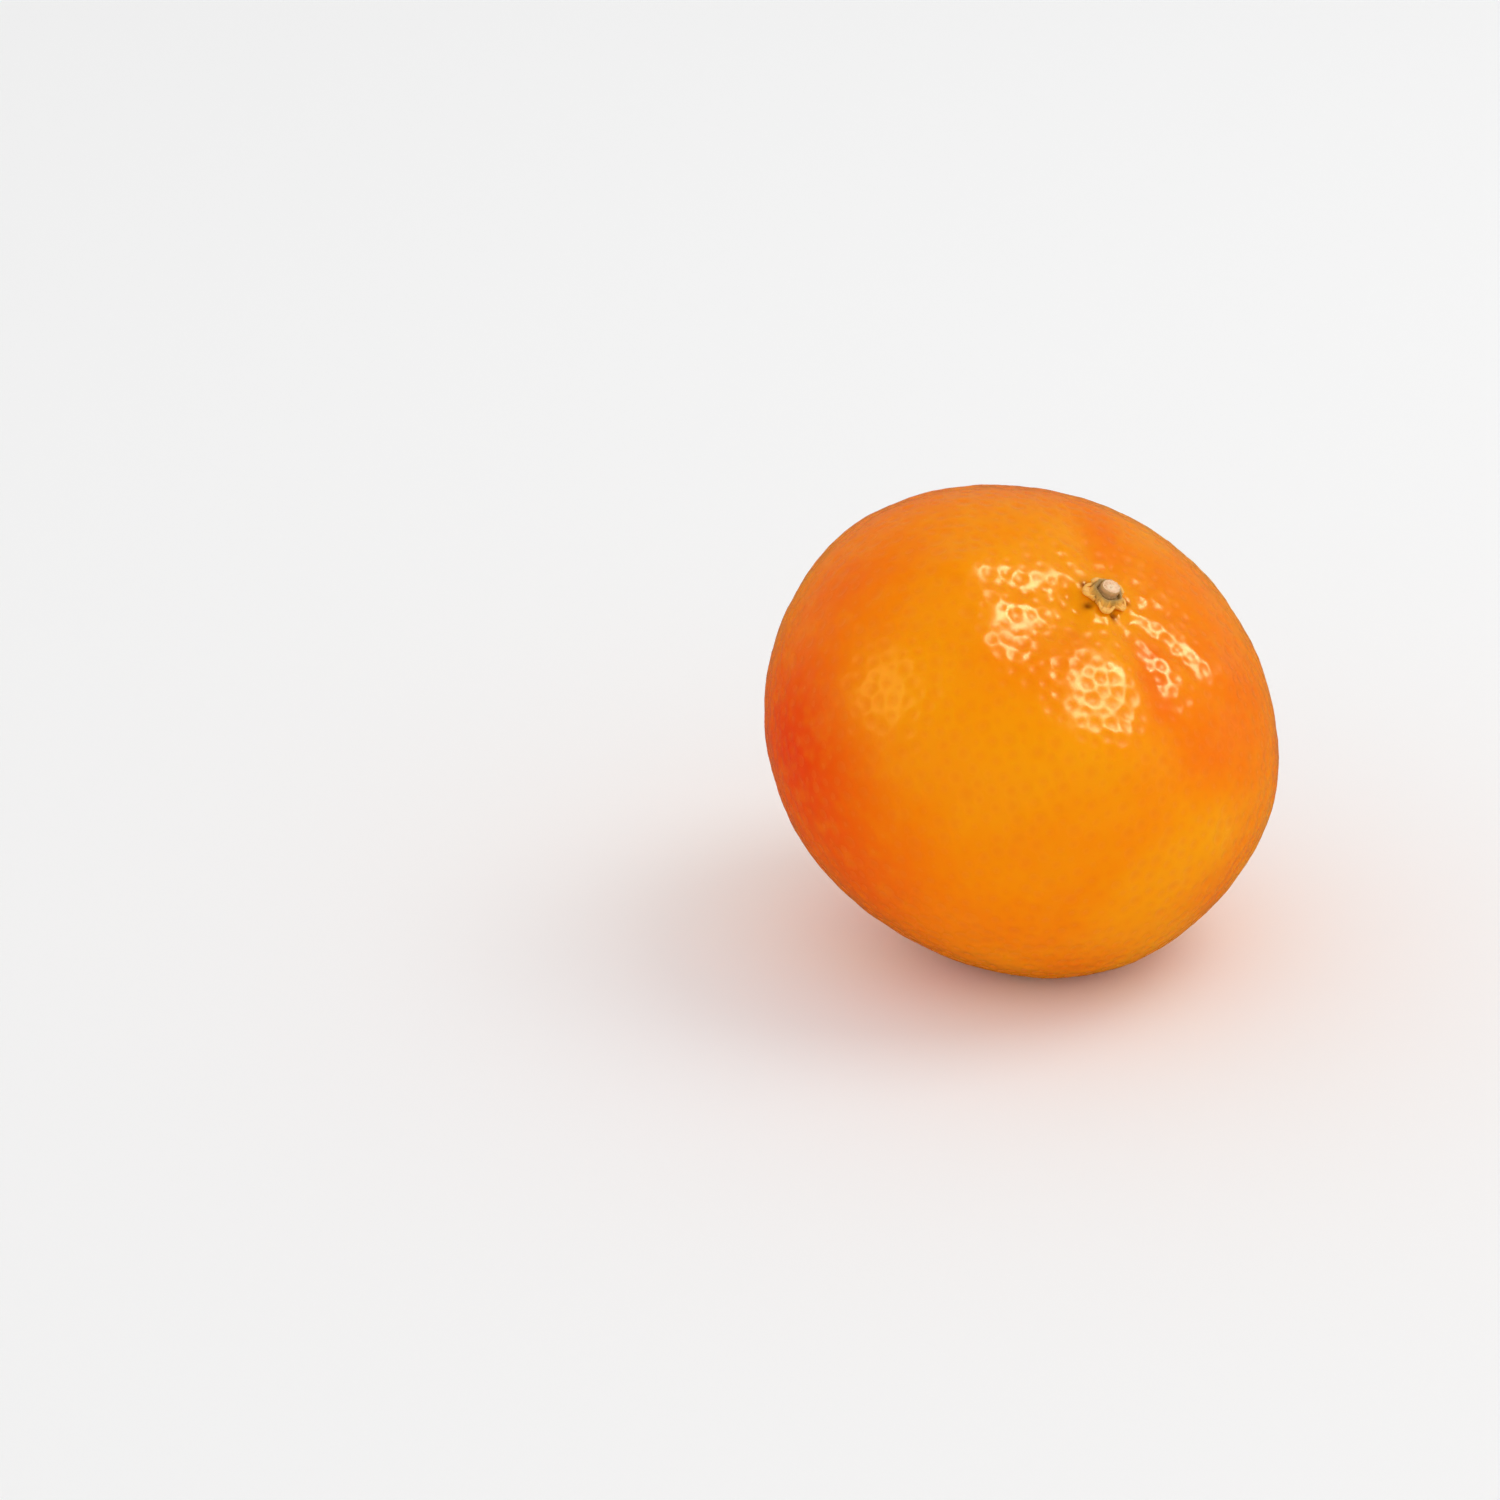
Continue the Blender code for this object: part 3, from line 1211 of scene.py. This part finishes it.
    def with_pores(self, tree: GeometryGroup, smooth: Term) -> Term:
        """Sink the glands into the peel and let it wave gently.

        Args:
            tree: The tree that makes them.
            smooth: The smooth peel.

        Returns:
            The dimpled peel, which keeps how deep in a gland each point is.
        """
        pitch, radius, depth, seed = tree.sizes(
            self, "pore_pitch", "pore_radius", "pore_depth", "pore_seed"
        )
        wave_height, ripple_height = tree.sizes(self, "wave_height", "ripple_height")
        scatter = {
            "Mesh": smooth,
            "Distance Min": pitch,
            "Density Max": self.pores_per_square_metre,
            "Seed": seed,
        }
        glands = tree.term(
            "GeometryNodeDistributePointsOnFaces", scatter, distribute_method="POISSON"
        )
        here = tree.term("GeometryNodeInputPosition", {})
        near = {0: glands, "Sample Position": here}
        distance = tree.term(
            "GeometryNodeProximity", near, "Distance", target_element="POINTS"
        )
        nearest = tree.term("GeometryNodeSampleNearest", near, domain="POINT")
        vary = tree.random(self.pore_sizes, seed)
        picked = {0: glands, "Value": vary, "Index": nearest}
        size = tree.term(
            "GeometryNodeSampleIndex", picked, data_type="FLOAT", domain="POINT"
        )
        pore = tree.bell(distance, radius * size)
        waves = tree.sway(here, self.wave_length, wave_height)
        ripples = tree.sway(here, self.ripple_length, ripple_height)
        relief = waves + ripples - pore * depth * size
        normal = tree.term("GeometryNodeInputNormal", {})
        kept = tree.term(
            "GeometryNodeStoreNamedAttribute",
            {0: smooth, "Name": self.finish.pore_attribute, "Value": pore},
            data_type="FLOAT",
            domain="POINT",
        )
        offset = tree.vector_math(VectorStep.SCALE, normal, relief)
        return tree.term("GeometryNodeSetPosition", {0: kept, "Offset": offset})

    def on_flat_spot(self, tree: GeometryGroup, dimpled: Term) -> Term:
        """Press the peel gently down onto its flat spot.

        Args:
            tree: The tree that does it.
            dimpled: The peel in the world's frame.

        Returns:
            The peel with its flat spot.
        """
        softness, press, reach = tree.sizes(
            self.form, "spot_softness", "spot_press", "spot_reach"
        )
        x, y, z = tree.parts(tree.term("GeometryNodeInputPosition", {}))
        rounding = tree.math(Step.SQUARE_ROOT, z * z + softness * softness * 4.0)
        lift = (rounding - z) * 0.5
        pressed = z + lift - press * tree.rise(z, 0.0, reach, 1.0, 0.0)
        level = tree.math(Step.LARGER, pressed, 0.0)
        point = tree.vector(x, y, level)
        return tree.term("GeometryNodeSetPosition", {0: dimpled, "Position": point})


@dataclass
class Lathe:
    """Turns a profile round the fruit's axis into one closed mesh."""

    steps: int = 120
    fineness: float = 0.07 * MM

    def resampled(self, profile: Profile) -> list[tuple[float, float]]:
        """The profile with points no further apart than the lathe's fineness.

        Args:
            profile: Radius and height of each corner, from the foot's middle to the top's.

        Returns:
            The finer profile.
        """
        finer = [profile[0]]
        for start, end in zip(profile, profile[1:]):
            count = max(1, math.ceil(math.dist(start, end) / self.fineness))
            for number in range(1, count + 1):
                share = number / count
                radius = start[0] + (end[0] - start[0]) * share
                finer.append((radius, start[1] + (end[1] - start[1]) * share))
        return finer

    def turn(
        self, name: str, profile: Profile, shift: Callable[[Vector], Vector]
    ) -> bpy.types.Mesh:
        """Turn the profile.

        Args:
            name: The mesh's name.
            profile: Radius and height of each corner, starting and ending on the axis.
            shift: Where each point of the turned shape ends up.

        Returns:
            The closed mesh.
        """
        draft = bmesh.new()
        finer = self.resampled(profile)
        rows = []
        for radius, height in finer[1:-1]:
            row = []
            for step in range(self.steps):
                angle = math.tau * step / self.steps
                point = Vector((radius * math.cos(angle), radius * math.sin(angle), height))
                row.append(draft.verts.new(shift(point)))
            rows.append(row)
        foot = draft.verts.new(shift(Vector((0, 0, finer[0][1]))))
        top = draft.verts.new(shift(Vector((0, 0, finer[-1][1]))))
        for step in range(self.steps):
            after = (step + 1) % self.steps
            draft.faces.new((foot, rows[0][after], rows[0][step]))
            draft.faces.new((top, rows[-1][step], rows[-1][after]))
            for lower, upper in zip(rows, rows[1:]):
                draft.faces.new((lower[step], lower[after], upper[after], upper[step]))
        bmesh.ops.recalc_face_normals(draft, faces=draft.faces)
        mesh = kept_mesh(name, draft)
        mesh.shade_smooth()
        return mesh


def rough(point: Vector, size: float, height: float) -> float:
    """Smooth noise for a small uneven surface.

    Args:
        point: Where it is read.
        size: The size of its bumps.
        height: How high the bumps are.

    Returns:
        The height there, from -height to height.
    """
    return noise.noise(point / size) * height


@dataclass
class Calyx:
    """The star of five dried sepals and the collar that they grow from."""

    form: FruitForm
    sizes: CalyxForm
    finish: SepalFinish = field(default_factory=SepalFinish)
    lathe: Lathe = field(default_factory=Lathe)
    rows: int = 12
    columns: int = 12
    tip_curl: float = 0.22 * MM
    edge_curl: float = 0.6
    tip_taper: float = 0.38
    tip_fullness: float = 0.92
    tip_roundness: float = 2.2
    midrib_height: float = 0.10 * MM
    midrib_width: float = 0.28
    crinkle: tuple[float, float] = (0.6 * MM, 0.06 * MM)
    crumples: tuple[tuple[float, float], ...] = ((0.5 * MM, 0.10 * MM), (0.2 * MM, 0.03 * MM))
    collar_swell: float = 0.07
    collar_middle: float = 0.1 * MM
    turn_spread: float = math.radians(7)
    lengths: tuple[float, float] = (0.9, 1.06)
    widths: tuple[float, float] = (0.88, 1.12)
    seed: int = 5

    def build(self) -> list[bpy.types.Object]:
        """Build the sepals and the collar, and dress them.

        Returns:
            The finished pieces.
        """
        material = self.finish.paint(self.form)
        collar = link_mesh("calyx_collar", self.collar_mesh())
        collar.data.materials.append(material)
        pieces = [self.sepals(material), collar]
        return [add_piece(piece, CadNode.CALYX) for piece in pieces]

    def sepal_mesh(self) -> bpy.types.Mesh:
        """One sepal's upper skin, lying along +X of the fruit's own frame."""
        sizes = self.sizes
        draft = bmesh.new()
        bmesh.ops.create_grid(draft, x_segments=self.rows, y_segments=self.columns, size=1.0)
        for vertex in draft.verts:
            along, across = (vertex.co.x + 1) / 2, vertex.co.y
            corner = abs(across) ** self.tip_roundness * self.tip_fullness
            reach = (sizes.sepal_tip - sizes.sepal_root) * along
            radius = sizes.sepal_root + reach * math.sqrt(max(0.0, 1 - corner))
            sideways = sizes.sepal_half_width * across * (1 - self.tip_taper * along**2)
            height = self.form.seat_height(math.hypot(radius, sideways))
            rib = math.exp(-((across / self.midrib_width) ** 2)) * (1 - along)
            curl = along**3 * (1 - self.edge_curl + self.edge_curl * abs(across))
            point = Vector((radius, sideways, 0))
            height += sizes.sepal_thickness + rough(point, *self.crinkle)
            height += self.midrib_height * rib + self.tip_curl * curl
            vertex.co = point + Vector((0, 0, height))
        return kept_mesh("one_sepal", draft)

    def sepals(self, material: bpy.types.Material) -> bpy.types.Object:
        """Set five unlike copies of one sepal round the stem.

        Args:
            material: The sepals' material.

        Returns:
            The star as one object.
        """
        obj = link_mesh("calyx_sepals", self.sepal_mesh())
        wall = obj.modifiers.new("thickness", "SOLIDIFY")
        wall.thickness = self.sizes.sepal_thickness
        wall.offset = -1.0
        finer = obj.modifiers.new("rounding", "SUBSURF")
        finer.levels = 2
        finer.render_levels = 2

        tree = GeometryGroup("sepal_star")
        sepal = tree.input("sepal", None, SocketKind.GEOMETRY)
        count, first = tree.sizes(self.sizes, "sepal_count", "first_sepal")
        seed, turn_spread = tree.sizes(self, "seed", "turn_spread")
        index = tree.term("GeometryNodeInputIndex", {})
        turn = first + index / count * math.tau
        turn = turn + tree.random((-1.0, 1.0), seed) * turn_spread
        length = tree.random(self.lengths, seed + 1.0)
        width = tree.random(self.widths, seed + 2.0)
        inputs = {
            "Points": tree.term("GeometryNodePoints", {0: count}),
            "Instance": sepal,
            "Rotation": tree.vector(0.0, 0.0, turn),
            "Scale": tree.vector(length, width, 1.0),
        }
        star = tree.term("GeometryNodeInstanceOnPoints", inputs)
        tree.close_surface(self.form.set_down(tree, star), material)
        return tree.bake(obj)

    def collar_mesh(self) -> bpy.types.Mesh:
        """The cup under the stem with its raised, uneven rim."""
        sizes = self.sizes
        foot = self.form.seat_height(0.0) - 0.05 * MM
        cup = foot + sizes.seat_gap + sizes.cup_thickness
        brim = foot + sizes.seat_gap + sizes.collar_thickness
        profile = (
            (0.0, foot),
            (sizes.collar_radius + 0.3 * MM, foot + 0.1 * MM),
            (sizes.collar_radius + 0.45 * MM, foot + 0.35 * MM),
            (sizes.collar_radius + 0.2 * MM, brim - 0.22 * MM),
            (sizes.collar_radius, brim),
            (sizes.collar_radius - 0.25 * MM, brim - 0.08 * MM),
            (sizes.collar_radius - 0.42 * MM, cup + 0.1 * MM),
            (0.0, cup),
        )

        def shift(point: Vector) -> Vector:
            """Swell the collar at each sepal and crumple it."""
            azimuth = math.atan2(point.y, point.x) - sizes.first_sepal
            swell = 1 + self.collar_swell * math.cos(sizes.sepal_count * azimuth)
            crumple = sum(rough(point, *one) for one in self.crumples)
            moved = Vector((point.x * swell, point.y * swell, point.z + crumple))
            away = point.to_2d().length > self.collar_middle
            return self.form.to_world @ (moved if away else point)

        return self.lathe.turn("calyx_collar", profile, shift)


@dataclass
class Stem:
    """The clipped end of the fruit's stalk, standing in the calyx."""

    form: FruitForm
    calyx: CalyxForm
    finish: WoodFinish = field(default_factory=WoodFinish)
    lathe: Lathe = field(default_factory=lambda: Lathe(fineness=0.05 * MM))
    radius: float = 1.2 * MM
    height: float = 0.9 * MM
    bark: float = 0.16 * MM
    bundle_count: int = 22
    bundle_ring: float = 0.72 * MM
    bundle_radius: float = 0.065 * MM
    bundle_drift: float = 0.06 * MM
    bundle_sizes: tuple[float, float] = (0.7, 1.3)
    ridge_height: float = 0.07
    ridge_pace: float = 3.2
    ridge_twist: float = 0.15
    cut_slant: tuple[float, float] = (0.06, -0.05)
    cut_roughness: tuple[float, float] = (0.22 * MM, 0.05 * MM)
    seed: int = 3

    @property
    def foot(self) -> float:
        """The stem's foot along the fruit's axis."""
        gaps = 2 * self.calyx.seat_gap
        return self.form.seat_height(0.0) + gaps + self.calyx.cup_thickness

    @property
    def top(self) -> float:
        """The clipped face's height along the fruit's axis."""
        return self.foot + self.height

    def build(self) -> list[bpy.types.Object]:
        """Build the stub and the fibre bundles on its clipped face, and dress them.

        Returns:
            The finished pieces.
        """
        material = self.finish.paint(self.form, self.top)
        stub = link_mesh("stem_stub", self.stub_mesh())
        stub.data.materials.append(material)
        pieces = [stub, self.bundles(material)]
        return [add_piece(piece, CadNode.STEM) for piece in pieces]

    def stub_mesh(self) -> bpy.types.Mesh:
        """The stub, with its ridged bark and its slightly hollow cut."""
        foot = self.foot - self.calyx.seat_gap
        top = self.top
        profile = (
            (0.0, foot),
            (self.radius - self.bark, foot),
            (self.radius, foot + self.bark),
            (self.radius * 0.93, foot + self.height / 2),
            (self.radius, top - 2 * self.bark),
            (self.radius - self.bark / 4, top - self.bark / 2),
            (self.radius - self.bark, top),
            (self.radius - 1.7 * self.bark, top - self.bark / 2),
            (self.radius - 2.4 * self.bark, top - self.bark),
            (self.radius * 0.2, top - self.bark),
            (0.0, top - 1.5 * self.bark),
        )

        def shift(point: Vector) -> Vector:
            """Ridge the bark and roughen the cut."""
            azimuth = math.atan2(point.y, point.x)
            out = point.to_2d().length / self.radius
            along = self.ridge_twist * point.z / MM
            round_it = Vector((math.cos(azimuth), math.sin(azimuth), along))
            wave = noise.noise(round_it * self.ridge_pace)
            ridge = 1 + self.ridge_height * wave * out
            lifted = point.z + (self.cut_slant[0] * point.x + self.cut_slant[1] * point.y)
            lifted += rough(point, *self.cut_roughness) if point.z > foot else 0.0
            return self.form.to_world @ Vector((point.x * ridge, point.y * ridge, lifted))

        return self.lathe.turn("stem_stub", profile, shift)

    def bundles(self, material: bpy.types.Material) -> bpy.types.Object:
        """The ring of fibre ends that stands a little proud of the clipped face.

        Args:
            material: The wood's material.

        Returns:
            The fibre ends as one object.
        """
        tree = GeometryGroup("fibre_ring")
        ring, size = tree.sizes(self, "bundle_ring", "bundle_radius")
        count, seed = tree.sizes(self, "bundle_count", "seed")
        circle = tree.term("GeometryNodeMeshCircle", {"Vertices": count, "Radius": ring})
        spread = {0: (-self.bundle_drift,) * 3, 1: (self.bundle_drift,) * 3, "Seed": seed}
        drift = tree.term("FunctionNodeRandomValue", spread, 0, data_type="FLOAT_VECTOR")
        uneven = tree.term("GeometryNodeSetPosition", {0: circle, "Offset": drift})
        fibre = tree.term(
            "GeometryNodeMeshIcoSphere", {"Radius": size, "Subdivisions": 2}
        )
        scale = tree.random(self.bundle_sizes, seed)
        inputs = {"Points": uneven, "Instance": fibre, "Scale": tree.vector(scale, scale, 1.0)}
        ends = tree.term("GeometryNodeInstanceOnPoints", inputs)
        placed = self.form.set_down(tree, ends, self.top - self.bark)
        tree.close_surface(placed, material)
        return tree.bake(link_mesh("stem_fibres", bpy.data.meshes.new("stem_fibres")))


def towards(azimuth: float, elevation: float) -> Vector:
    """The unit vector at two angles in degrees, round from -Y and up from level."""
    turn, rise = math.radians(azimuth), math.radians(elevation)
    flat = math.cos(rise)
    return Vector((math.sin(turn) * flat, -math.cos(turn) * flat, math.sin(rise)))


@dataclass(frozen=True)
class SoftBox:
    """A soft studio lamp that looks at the fruit."""

    name: str
    azimuth: float
    elevation: float
    distance: float
    width: float
    height: float
    power: float
    lights: bool = True
    shines: bool = True
    colour: Colour = (1.0, 1.0, 1.0)

    def hang(self, aim: Vector) -> bpy.types.Object:
        """Put the lamp into the scene.

        Args:
            aim: The point that it looks at.

        Returns:
            The lamp.
        """
        lamp = bpy.data.lights.new(self.name, "AREA")
        lamp.shape = "RECTANGLE"
        lamp.size = self.width
        lamp.size_y = self.height
        lamp.energy = self.power
        lamp.color = self.colour
        back = towards(self.azimuth, self.elevation)
        obj = bpy.data.objects.new(self.name, lamp)
        obj.location = aim + back * self.distance
        obj.rotation_euler = back.to_track_quat("Z", "Y").to_euler()
        obj.visible_diffuse = self.lights
        obj.visible_glossy = self.shines
        bpy.context.scene.collection.objects.link(obj)
        return obj


@dataclass
class Studio:
    """A pale floor, soft lamps and the camera."""

    form: FruitForm
    floor_size: float = 40.0
    floor_drop: float = 0.05 * MM
    floor_white: float = 0.91
    floor_roughness: float = 0.9
    floor_gloss: float = 0.1
    sky_low: float = 1.30
    sky_high: float = 0.75
    sky_turn: float = 0.9
    mirrored_sky: float = 0.22
    mirrored_floor: float = 0.12
    lamps: tuple[SoftBox, ...] = (
        SoftBox("key_lamp", 54, 56, 0.9, 0.5, 0.5, 1.3, shines=False),
        SoftBox("key_window", 50, 54, 0.9, 0.28, 0.22, 8.5, lights=False),
        SoftBox("side_glow", -114, 37, 0.9, 0.34, 0.42, 3.2, lights=False, colour=(1.0, 0.8, 0.4)),
    )
    lens: float = 105.0
    sensor_width: float = 36.0
    azimuth: float = -46.80
    elevation: float = 25.0
    fruit_right: float = 33.16 * MM
    fruit_up: float = 2.87 * MM
    fruit_away: float = 535.4 * MM

    def build(self) -> None:
        """Make the whole studio."""
        self.lay_floor()
        self.light_sky()
        for lamp in self.lamps:
            lamp.hang(self.fruit_centre)
        self.set_camera()
        bpy.context.scene.view_settings.view_transform = "Standard"

    @property
    def fruit_centre(self) -> Vector:
        """The fruit's centre in the world's frame."""
        return Vector((0, 0, self.form.centre_height))

    def lay_floor(self) -> None:
        """A plain pale floor under the fruit."""
        draft = bmesh.new()
        bmesh.ops.create_grid(draft, x_segments=1, y_segments=1, size=self.floor_size / 2)
        floor = link_mesh("floor", kept_mesh("floor", draft))
        floor.location.z = -self.floor_drop
        brush = Brush("pale_floor")
        white = self.dimming(brush, self.mirrored_floor) * self.floor_white
        wanted = {
            "Base Color": white,
            "Roughness": self.floor_roughness,
            "Specular IOR Level": self.floor_gloss,
        }
        brush.feed(brush.shader, wanted)
        floor.data.materials.append(brush.material)

    @staticmethod
    def dimming(weaver: Weaver, share: float) -> Term:
        """How bright the studio is, less where the peel mirrors it.

        Args:
            weaver: The weaver of the tree that asks.
            share: How much is left in a mirror image.

        Returns:
            The share in a mirror image and 1 elsewhere.
        """
        mirrored = weaver.term("ShaderNodeLightPath", {}, "Is Glossy Ray")
        return mirrored * (share - 1.0) + 1.0

    def light_sky(self) -> None:
        """Soft white surroundings, brighter near the horizon than overhead."""
        world = bpy.data.worlds.new("soft_surroundings")
        bpy.context.scene.world = world
        world.use_nodes = True
        weaver = Weaver(world.node_tree)
        up = weaver.parts(weaver.term("ShaderNodeTexCoord", {}, "Generated"))[2]
        strength = weaver.rise(up, 0.0, self.sky_turn, self.sky_low, self.sky_high)
        strength = strength * self.dimming(weaver, self.mirrored_sky)
        wanted = {"Strength": strength, "Color": (1.0, 1.0, 1.0, 1.0)}
        weaver.feed(world.node_tree.nodes["Background"], wanted)

    @property
    def camera_axes(self) -> tuple[Vector, Vector, Vector]:
        """The directions to the camera's right, up from it and back to it."""
        back = towards(self.azimuth, self.elevation)
        right = Vector((0, 0, 1)).cross(back).normalized()
        return right, back.cross(right), back

    def set_camera(self) -> None:
        """Stand the camera where the photograph was taken from."""
        right, up, back = self.camera_axes
        camera = bpy.data.cameras.new("camera")
        camera.lens = self.lens
        camera.sensor_width = self.sensor_width
        obj = bpy.data.objects.new("camera", camera)
        obj.location = (
            self.fruit_centre
            - right * self.fruit_right
            - up * self.fruit_up
            + back * self.fruit_away
        )
        obj.rotation_euler = Matrix((right, up, back)).transposed().to_euler()
        bpy.context.scene.collection.objects.link(obj)
        bpy.context.scene.camera = obj


def main() -> None:
    """Build the mandarin piece by piece, then the studio round it."""
    logging.basicConfig(level=logging.INFO, format="%(name)s: %(message)s")
    form = FruitForm()
    calyx_form = CalyxForm()
    Peel(form, calyx_form).build()
    Calyx(form, calyx_form).build()
    Stem(form, calyx_form).build()
    Studio(form).build()


if __name__ == "__main__":
    main()
